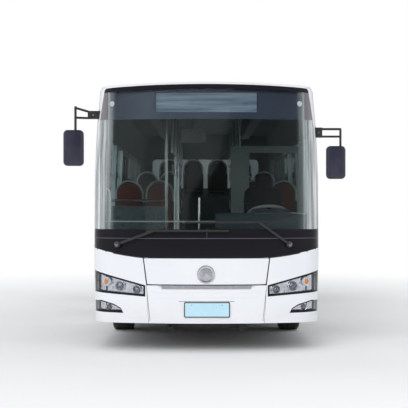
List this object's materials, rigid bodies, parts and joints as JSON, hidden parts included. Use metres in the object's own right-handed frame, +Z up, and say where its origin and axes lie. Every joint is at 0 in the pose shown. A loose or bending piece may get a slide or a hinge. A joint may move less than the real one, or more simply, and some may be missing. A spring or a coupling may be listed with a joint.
{
  "type": "airport passenger bus",
  "caption": "Single-deck airport passenger bus with wrap-round windscreen, low floor, inward swinging doors, steered front wheels and twin rear wheels.",
  "frame": {"origin": "on the ground, midway between the sides and the two ends", "axes": "-Y towards the front, +X towards the bus's left side, +Z up"},
  "size_m": [3.145, 10.515, 3.12],
  "materials": {
    "body_paint": "white gloss paint",
    "roof_paint": "white gloss paint",
    "bumper_paint": "white gloss paint on moulded panels",
    "windscreen_glass": "clear, tinted at the top and black at the foot",
    "window_glass": "grey tinted",
    "lamp_glass": "clear",
    "lamp_chrome": "bright reflectors",
    "rear_lamp_red": "red and amber lenses",
    "sign_board": "blue-grey board",
    "dash_plastic": "grained grey plastic",
    "black_plastic": "moulded black",
    "mirror_plastic": "dark navy black",
    "arm_paint": "black powder coat",
    "seat_fabric": "dark woven cloth",
    "passenger_seat_fabric": "orange red woven cloth",
    "rail_metal": "brushed tube",
    "screen_panel": "teal grey",
    "floor_vinyl": "speckled grey sheet",
    "chassis_paint": "black chassis paint with road dirt",
    "axle_paint": "black painted casting",
    "engine_metal": "grey casting",
    "rubber_bellows": "moulded rubber",
    "tyre_rubber": "black tyre",
    "rim_steel": "silver paint",
    "aircon_plastic": "white moulding",
    "door_frame": "dark anodised frame"
  },
  "bodies": {
    "coach": {"frame_rails_front": "chassis_paint", "frame_rails_rear": "chassis_paint", "crossmembers": "chassis_paint", "floor_deck": "floor_vinyl", "cab_floor": "floor_vinyl", "wheel_housings": "floor_vinyl", "wall_left": "body_paint", "wall_right": "body_paint", "roof_panel": "roof_paint", "rear_wall": "body_paint", "front_corner_left": "bumper_paint", "front_corner_right": "bumper_paint", "front_bumper": "bumper_paint", "windscreen": "windscreen_glass", "side_windows_left": "window_glass", "side_windows_right": "window_glass", "rear_window": "window_glass", "front_lamps": "lamp_chrome", "front_lamp_covers": "lamp_glass", "rear_lamps": "rear_lamp_red", "destination_sign": "sign_board", "dashboard": "dash_plastic", "steering_column": "black_plastic", "driver_seat": "seat_fabric", "cab_partition": "screen_panel", "door_screen": "screen_panel", "passenger_seats": "passenger_seat_fabric", "handrails": "rail_metal", "wipers": "black_plastic", "mirror_arms": "arm_paint", "mirror_heads": "mirror_plastic", "roof_aircon": "aircon_plastic", "roof_hatches": "aircon_plastic", "engine_block": "engine_metal", "axle_front": "axle_paint", "axle_rear": "axle_paint", "air_springs": "rubber_bellows"},
    "front_flap": {"front_hatch": "bumper_paint"},
    "engine_lid": {"engine_door": "body_paint"},
    "front_door_fore": {"front_door_fore_leaf": "door_frame", "front_door_fore_glass": "window_glass"},
    "front_door_aft": {"front_door_aft_leaf": "door_frame", "front_door_aft_glass": "window_glass"},
    "middle_door_fore": {"middle_door_fore_leaf": "door_frame", "middle_door_fore_glass": "window_glass"},
    "middle_door_aft": {"middle_door_aft_leaf": "door_frame", "middle_door_aft_glass": "window_glass"},
    "steering_left": {"knuckle_left": "axle_paint"},
    "steering_right": {"knuckle_right": "axle_paint"},
    "track_rod_body": {"track_rod": "axle_paint"},
    "wheel_front_left": {"tyre_front_left": "tyre_rubber", "rim_front_left": "rim_steel"},
    "wheels_rear_left": {"tyres_rear_left": "tyre_rubber", "rims_rear_left": "rim_steel"},
    "wheel_front_right": {"tyre_front_right": "tyre_rubber", "rim_front_right": "rim_steel"},
    "wheels_rear_right": {"tyres_rear_right": "tyre_rubber", "rims_rear_right": "rim_steel"}
  },
  "joints": [
    {"name": "front_flap_lift", "type": "hinge", "parent": "coach", "child": "front_flap", "pos_m": [0, -5.25, 1.01], "axis": [-1, 0, 0], "range_deg": [0, 75]},
    {"name": "engine_lid_lift", "type": "hinge", "parent": "coach", "child": "engine_lid", "pos_m": [0, 5.25, 1.224], "axis": [1, 0, 0], "range_deg": [0, 70]},
    {"name": "front_door_fore_swing", "type": "hinge", "parent": "coach", "child": "front_door_fore", "pos_m": [-1.218, -4.508, 0.4], "axis": [0, 0, -1], "range_deg": [0, 90]},
    {"name": "front_door_aft_swing", "type": "hinge", "parent": "coach", "child": "front_door_aft", "pos_m": [-1.218, -3.392, 0.4], "axis": [0, 0, 1], "range_deg": [0, 90]},
    {"name": "middle_door_fore_swing", "type": "hinge", "parent": "coach", "child": "middle_door_fore", "pos_m": [-1.218, -0.558, 0.4], "axis": [0, 0, -1], "range_deg": [0, 90]},
    {"name": "middle_door_aft_swing", "type": "hinge", "parent": "coach", "child": "middle_door_aft", "pos_m": [-1.218, 0.558, 0.4], "axis": [0, 0, 1], "range_deg": [0, 90]},
    {"name": "steer_left", "type": "hinge", "parent": "coach", "child": "steering_left", "pos_m": [0.87, -2.65, 0.478], "axis": [0, 0, 1], "range_deg": [-42, 42]},
    {"name": "steer_right", "type": "hinge", "parent": "coach", "child": "steering_right", "pos_m": [-0.87, -2.65, 0.478], "axis": [0, 0, 1], "range_deg": [-42, 42]},
    {"name": "track_rod_swing", "type": "hinge", "parent": "steering_left", "child": "track_rod_body", "pos_m": [0.87, -2.45, 0.25], "axis": [0, 0, 1], "range_deg": [-42, 42]},
    {"name": "wheel_front_left_spin", "type": "hinge", "parent": "steering_left", "child": "wheel_front_left", "pos_m": [1.048, -2.65, 0.478], "axis": [1, 0, 0], "continuous": true},
    {"name": "wheel_front_right_spin", "type": "hinge", "parent": "steering_right", "child": "wheel_front_right", "pos_m": [-1.048, -2.65, 0.478], "axis": [1, 0, 0], "continuous": true},
    {"name": "wheels_rear_left_spin", "type": "hinge", "parent": "coach", "child": "wheels_rear_left", "pos_m": [0.897, 2.55, 0.478], "axis": [1, 0, 0], "continuous": true},
    {"name": "wheels_rear_right_spin", "type": "hinge", "parent": "coach", "child": "wheels_rear_right", "pos_m": [-0.897, 2.55, 0.478], "axis": [1, 0, 0], "continuous": true}
  ],
  "couplings": [
    {"joint": "steer_right", "follows": "steer_left", "ratio": 1},
    {"joint": "track_rod_swing", "follows": "steer_left", "ratio": -1}
  ]
}
